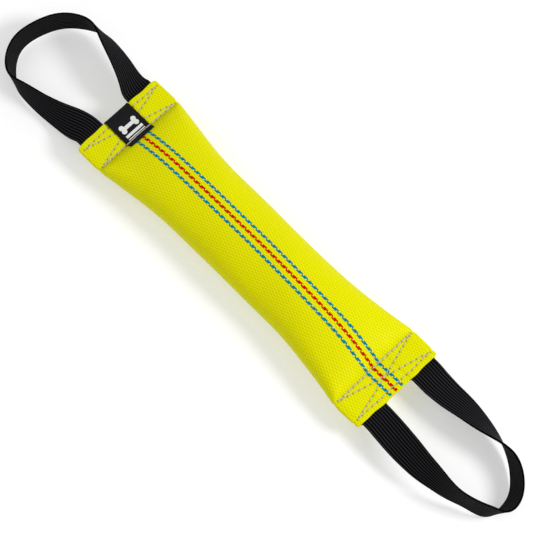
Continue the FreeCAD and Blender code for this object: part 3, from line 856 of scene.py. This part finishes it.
def simulate_hose(rows, shares, start):
    """Blows the stuffed stretch up as cloth, its hems held, and returns where its points come to rest."""
    columns = len(shares)
    quads = grid_faces(len(rows), columns, closed=True, flip=True)
    obj = add_mesh("simulated_hose", start.reshape(-1, 3), quads)
    slope = np.gradient(start[:, 0, 2], rows)
    slope = (slope[1:] + slope[:-1]) / 2
    cut_length = np.concatenate([[0], np.cumsum(np.sqrt(1 + SIM_SLOPE_SHARE * slope ** 2) * np.diff(rows))])
    flat = section(np.full(len(rows), HALF_LENGTH), shares)[0]
    flat[..., 0] = (cut_length - cut_length[-1] / 2)[:, None]
    obj.shape_key_add(name="stuffed", from_mix=False)
    key = obj.shape_key_add(name="flat", from_mix=False)
    key.data.foreach_set("co", (flat * MM).ravel().astype(np.float32))
    held = obj.vertex_groups.new(name="held")
    for row in np.nonzero(np.abs(rows) >= HEM_FOOT - 0.5)[0]:
        held.add([int(row * columns + column) for column in range(columns)], 1.0, "REPLACE")
    cloth = obj.modifiers.new("cloth", "CLOTH")
    settings = cloth.settings
    settings.quality = 7
    settings.mass = 0.25
    settings.tension_stiffness = settings.compression_stiffness = 30
    settings.shear_stiffness = 12
    settings.bending_stiffness = 1.2
    settings.use_pressure = True
    settings.uniform_pressure_force = 4.0
    settings.vertex_group_mass = "held"
    settings.rest_shape_key = key
    settings.effector_weights.gravity = 0.0
    cloth.collision_settings.use_collision = False
    scene = bpy.context.scene
    for frame_number in range(1, SIM_FRAMES + 1):
        scene.frame_set(frame_number)
    shown = obj.evaluated_get(bpy.context.evaluated_depsgraph_get())
    rest = np.empty(len(shown.data.vertices) * 3)
    shown.data.vertices.foreach_get("co", rest)
    scene.frame_set(1)
    mesh = obj.data
    bpy.data.objects.remove(obj)
    bpy.data.meshes.remove(mesh)
    return rest.reshape(start.shape) / MM


cover = Cover()
hose = cover.build()
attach(hose, "tug")
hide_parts("hose_jacket")

lining = cover.build_lining()
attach(lining, "tug")
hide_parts("hose_lining")

for material_slot in frame["nodes"]["filling"].material_slots:
    material_slot.material = FILLING


# ---------------- marker yarns

# The stuffing has twisted the hose a little: how far to the side the marker lines lie, along the hose.
MARKER_DRIFT = [(-159.0, -1.2), (-125.0, -0.8), (-100.0, 0.0), (-60.0, 0.2), (0.0, 0.95), (55.0, 0.05),
                (90.0, -0.4), (107.0, -1.2), (124.0, -2.8), (159.0, -1.9)]


def smooth_line(points, x):
    """A smooth line through a few (place, value) points."""
    places, values = np.array(points).T
    fine = np.linspace(places[0], places[-1], 400)
    soft = np.interp(fine, places, values)
    kernel = np.hanning(45)
    padded = np.pad(soft, len(kernel) // 2, mode="reflect", reflect_type="odd")
    return np.interp(x, fine, np.convolve(padded, kernel / kernel.sum(), mode="valid"))


def marker_yarns(name, node, run, material):
    """Two warp yarns side by side that float over the cloth and dive into it by turns."""
    strands = []
    along = np.arange(cover.along[0] + MARKER_END_GAP, cover.along[-1] - MARKER_END_GAP, MARKER_STEP)
    x = np.interp(along, cover.along, cover.rows)
    outline = oval(MARKER_YARN_HALF_WIDTH, MARKER_YARN_HALF_HEIGHT, 10)
    drift = smooth_line(MARKER_DRIFT, x)
    for side, shift in ((-0.5, 0.0), (0.5, -MARKER_YARN_LAG)):
        share = cover.share(x, run + drift + side * MARKER_YARN_PITCH)
        place = cover.at(cover.points, x, share)
        up = unit(cover.at(cover.point_normals, x, share))
        wave = np.sin(2 * math.pi * (along / YARN_PERIOD + shift))
        depth = -MARKER_DIVE + MARKER_RISE * smooth_step(-1.0, -0.32, wave)
        strands.append(sweep(place + up * depth[:, None], up, outline))
    points, faces = joined(strands)
    turns = np.tile(np.arange(len(outline)) * 0.6, len(points) // len(outline))
    obj = add_mesh(name, points, faces, (material,),
                   cloth=np.stack([np.tile(np.repeat(along, len(outline)), 2), turns], -1))
    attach(obj, "tug")
    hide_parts(node)


marker_middle = middle_mm("marker_line_middle", 1)
for which, aside, yarn, slot_name in (("left", MARKER_PITCH, BLUE_YARN, "yarn_blue"),
                                      ("middle", 0.0, RED_YARN, "yarn_red"),
                                      ("right", -MARKER_PITCH, BLUE_YARN, "yarn_blue")):
    marker_yarns(f"marker_yarns_{which}", f"marker_line_{which}", marker_middle + aside, yarn)


# ---------------- stitching

def thread_run(sign, face, first, last, thread, lift=0.0, keep=None):
    """One thread along a row on one face of a hem, diving into a needle hole at every stitch."""
    radius, dash = thread
    first, last = np.array(first, float), np.array(last, float)
    length = np.linalg.norm(last - first)
    count = max(round(length / STITCH_PITCH), 1)
    pitch = length / count
    run = np.arange(0, length + 1e-6, pitch / 18)
    flat = first + (last - first) * (run / length)[:, None]
    bow = sign * ROW_BOW * np.sin(math.pi * run / length)
    x, y = sign * (flat[:, 0] - bow), flat[:, 1]
    share = cover.share(x, y, face)
    grid = cover.points if lift == 0 else cover.base
    place = cover.at(grid, x, share)
    up = unit(cover.at(cover.base_normals, x, share))
    from_hole = np.abs((run + pitch / 2) % pitch - pitch / 2)
    dive = np.exp(-(from_hole / ((pitch - dash) * 0.75)) ** 2)
    centre = place + up * (lift + THREAD_RISE - THREAD_DIVE * dive)[:, None]
    outline = oval(radius, radius * 0.85, THREAD_POINTS)
    runs = [np.ones(len(run), bool)] if keep is None else keep(y)
    runs = [kept for kept in runs if kept.sum() > 3]
    return [(sweep(centre[kept], up[kept], outline), np.repeat(run[kept], THREAD_POINTS)) for kept in runs]


def stitching(name, node, runs):
    """The threads of one CAD node, as one piece."""
    pieces, lengths = zip(*(made for run in runs for made in run))
    points, faces = joined(pieces)
    turns = np.tile(np.arange(THREAD_POINTS) * 2 * math.pi / THREAD_POINTS, len(points) // THREAD_POINTS)
    obj = add_mesh(name, points, faces, (THREAD,), cloth=np.stack([np.concatenate(lengths), turns], -1))
    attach(obj, "tug")
    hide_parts(node)


def outside_label(y):
    """The two stretches of the inner row beside the label."""
    edge = LABEL_HALF_WIDTH - 0.4
    return [y < -edge, y > edge]


for end, sign in (("label_end", -1), ("plain_end", 1)):
    for row, (first, last) in hem_rows().items():
        thread = BOLD_THREAD if row == "inner_row" else FINE_THREAD
        keep = outside_label if row == "inner_row" and sign < 0 else None
        stitching(f"thread_{end}_{row}", f"stitches_{end}_{row}",
                  [thread_run(sign, face, first, last, thread, keep=keep) for face in (1, -1)])
stitching("thread_over_label", "stitches_over_label",
          [thread_run(-1, face, (INNER_ROW_X, -LABEL_HALF_WIDTH), (INNER_ROW_X, LABEL_HALF_WIDTH),
                      LABEL_THREAD, lift=LABEL_LIFT + LABEL_THICK - 0.1) for face in (1, -1)])


# ---------------- the label

def label_surface():
    """Centre points and outward normals of the label's inner face: rows along it, columns across it."""
    across = np.linspace(-LABEL_HALF_WIDTH, LABEL_HALF_WIDTH, LABEL_COLUMNS)
    leaf = np.linspace(-HALF_LENGTH + LABEL_REACH, -HALF_LENGTH + LABEL_FOLD_INSET, LABEL_LEAF_ROWS)
    leaves = []
    for face in (1, -1):
        x, y = np.meshgrid(leaf, across, indexing="ij")
        share = cover.share(x, y, face)
        place = cover.at(cover.base, x, share)
        up = unit(cover.at(cover.base_normals, x, share))
        leaves.append((place + up * LABEL_LIFT, up))
    top, bottom = leaves
    centre = (top[0][-1] + bottom[0][-1]) / 2
    radius = np.linalg.norm(top[0][-1] - centre, axis=-1, keepdims=True)
    angles = np.linspace(0, math.pi, 13)[1:-1]
    ahead = np.array([-1.0, 0, 0])
    turn = [math.cos(a) * top[1][-1] + math.sin(a) * ahead for a in angles]
    fold = np.stack([centre + radius * unit(direction) for direction in turn])
    points = np.concatenate([top[0], fold, bottom[0][::-1]])
    outward = np.concatenate([top[1], np.stack([unit(direction) for direction in turn]), bottom[1][::-1]])
    return points, outward, across


def label():
    """The ribbon folded over the hem's edge. Returns the points of its outer face."""
    inner, outward, across = label_surface()
    rows, columns = inner.shape[:2]
    run = run_length(inner[:, columns // 2])
    rng = np.random.default_rng(5)
    wave = waves(rng, 5, 26, 9)(run[:, None], across[None]) * LABEL_WAVE
    curl = smooth_step(9.0, LABEL_HALF_WIDTH, np.abs(across))[None] * LABEL_CURL
    ends = smooth_step(4.0, 0.0, np.minimum(run, run[-1] - run))[:, None]
    inner = inner + outward * (wave + curl + LABEL_CLEAR + LABEL_END_RISE * ends)[..., None]
    outer = inner + outward * LABEL_THICK
    count = rows * columns
    points = np.concatenate([outer.reshape(-1, 3), inner.reshape(-1, 3)])
    faces = grid_faces(rows, columns, flip=True).tolist() + grid_faces(rows, columns, start=count).tolist()
    place = np.arange(count).reshape(rows, columns)
    border = np.concatenate([place[0], place[1:, -1], place[-1, -2::-1], place[-2:0:-1, 0]])
    following = np.roll(border, -1)
    faces += np.stack([border, following, following + count, border + count], -1).tolist()
    cloth = np.stack(np.broadcast_arrays(run[:, None], across[None]), -1).reshape(-1, 2)
    obj = add_mesh("folded_label", points, faces, (LABEL,), cloth=np.concatenate([cloth, cloth]))
    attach(obj, "tug")
    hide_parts("label")
    return outer


label_face = label()


def bone_outline(length, knob, offset, shaft):
    """Round knobs in pairs at the ends of a shaft: points (along, across), going round once."""
    middle = length / 2 - knob
    angles = np.linspace(-math.acos((shaft - offset) / knob), math.acos(-offset / knob), 22)
    right = [(offset + knob * math.cos(angle), middle + knob * math.sin(angle)) for angle in angles]
    end = right + [(-a, b) for a, b in right[-2::-1]]
    return end + [(-a, -b) for a, b in end]


def emblem():
    """A plain bone and two plain bars, woven in white: their outlines on the label."""
    low, high = box_mm("label_emblem")
    length = high[1] - low[1]
    bone_x = low[0] + KNOB_OFFSET + KNOB_RADIUS
    bone = bone_outline(length, KNOB_RADIUS, KNOB_OFFSET, SHAFT_HALF_WIDTH)
    shapes = [[(bone_x + a, b) for a, b in bone]]
    reach = length / 2
    for inset, half in EMBLEM_BARS:
        x = high[0] - inset
        shapes.append([(x + half, -reach), (x + half, reach), (x - half, reach), (x - half, -reach)])
    return shapes


def woven_emblem():
    """The emblem's shapes, laid on the label's near leaf."""
    rows = label_face[:LABEL_LEAF_ROWS]
    row_x = rows[:, rows.shape[1] // 2, 0]
    surface = rows[:, :, 2]
    across = np.linspace(-LABEL_HALF_WIDTH, LABEL_HALF_WIDTH, surface.shape[1])

    def height(x, y):
        row = np.interp(-x, -row_x, np.arange(len(row_x)))
        low = min(int(row), len(row_x) - 2)
        pair = [np.interp(y, across, surface[i]) for i in (low, low + 1)]
        return pair[0] * (1 - (row - low)) + pair[1] * (row - low)

    pieces = []
    for shape in emblem():
        count = len(shape)
        upper = np.array([(x, y, height(x, y) + EMBLEM_PROUD) for x, y in shape])
        lower = upper - np.array([0, 0, EMBLEM_THICK])
        faces = [list(range(count)), [count + i for i in range(count)][::-1]]
        faces += [[(i + 1) % count, i, count + i, count + (i + 1) % count] for i in range(count)]
        pieces.append((np.concatenate([upper, lower]), faces))
    points, faces = joined(pieces)
    obj = add_mesh("label_emblem_woven", points, faces, (EMBLEM,), smooth=False, cloth=points[:, :2])
    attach(obj, "tug")
    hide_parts("label_emblem")


woven_emblem()


# ---------------- the hand loops

def clamped_spline(poles, places):
    """Values of a clamped uniform cubic spline at places from 0 to 1."""
    poles = np.asarray(poles, float)
    spans = len(poles) - 3
    knots = np.concatenate([[0] * 3, np.arange(spans + 1), [spans] * 3]).astype(float)
    at = np.clip(np.asarray(places) * spans, 0, spans - 1e-9)
    basis = [((at >= knots[i]) & (at < knots[i + 1])).astype(float) for i in range(len(knots) - 1)]
    for degree in range(1, 4):
        raised = []
        for i in range(len(basis) - 1):
            before, after = knots[i + degree] - knots[i], knots[i + degree + 1] - knots[i + 1]
            value = 0.0
            if before > 0:
                value = value + (at - knots[i]) / before * basis[i]
            if after > 0:
                value = value + (knots[i + degree + 1] - at) / after * basis[i + 1]
            raised.append(value)
        basis = raised
    return sum(weight[:, None] * pole for weight, pole in zip(basis, poles))


def webbing_outline():
    """The webbing's section, with ribs and rounded edges: (across, up) pairs that go round once."""
    half = WEBBING_WIDTH / 2
    across = np.linspace(-half, half, RIBS * RIB_POINTS + 1)
    ridge = np.abs(np.sin(math.pi * (across + half) / RIB_PITCH)) ** 0.7
    past = np.clip(np.abs(across) - (half - WEBBING_EDGE), 0, WEBBING_EDGE) / WEBBING_EDGE
    edge = np.sqrt(np.clip(1 - past ** 2, 0, 1))
    height = (WEBBING_THICK / 2 - RIB_DEPTH + RIB_DEPTH * ridge) * edge
    upper = np.stack([across, height], -1)
    lower = np.stack([across[-2:0:-1], -height[-2:0:-1]], -1)
    return np.concatenate([upper, lower])


def hand_loop(end, sign, route):
    """One strip of webbing: sewn into the hem, out round the loop, and back into the hem."""
    dense = clamped_spline(route, np.linspace(0, 1, 900))
    dense[:, 0] += HINGE_X
    lead = np.linspace(HEM_FOOT + 1.0, HINGE_X, LEAD_POINTS + 1)[:-1, None]
    first, last = (np.hstack([lead, np.tile([root[1], AXIS, 0.0], (LEAD_POINTS, 1))])
                   for root in (dense[0], dense[-1]))
    line = np.concatenate([first, dense, last[::-1]])
    run = run_length(line[:, :3])
    even = np.linspace(0, run[-1], int(run[-1] / LOOP_STEP))
    line = np.stack([np.interp(even, run, line[:, i]) for i in range(4)], -1)
    centres = line[:, :3] * np.array([sign, sign, 1])
    forward = unit(np.gradient(centres, axis=0))
    level = unit(np.cross(np.array([0, 0, 1.0]), forward))
    roll = np.radians(line[:, 3])[:, None]
    wide = level * np.cos(roll) + np.cross(forward, level) * np.sin(roll)
    thick = np.cross(forward, wide)
    rng = np.random.default_rng(11 if sign > 0 else 12)
    free = smooth_step(30, 60, np.minimum(even, even[-1] - even))
    ripple = waves(rng, 4, 80, 26)(even, 0 * even) * 0.22 * free
    outline = webbing_outline()
    points = (centres[:, None] + wide[:, None] * outline[None, :, :1]
              + thick[:, None] * (outline[None, :, 1:] + ripple[:, None, None]))
    count = len(outline)
    faces = grid_faces(len(even), count, closed=True, flip=True).tolist()
    faces.append(list(range(count)))
    faces.append([(len(even) - 1) * count + i for i in range(count)][::-1])
    across = outline[None, :, 0] + WEBBING_WIDTH / 2
    cloth = np.stack(np.broadcast_arrays(even[:, None], across), -1).reshape(-1, 2)
    obj = add_mesh(f"webbing_{end}", points.reshape(-1, 3), faces, (WEBBING,), cloth=cloth)
    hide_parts(f"hand_loop_{end}", f"webbing_tail_{end}_first", f"webbing_tail_{end}_second")
    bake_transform(obj)


hand_loop("label_end", -1, LABEL_END_ROUTE)
hand_loop("plain_end", 1, PLAIN_END_ROUTE)


# ---------------- floor

def floor():
    side = 3000.0
    obj = add_mesh("floor", [(-side, -side, 0), (side, -side, 0), (side, side, 0), (-side, side, 0)],
                   [(0, 1, 2, 3)], (floor_material(),), smooth=False)


floor()
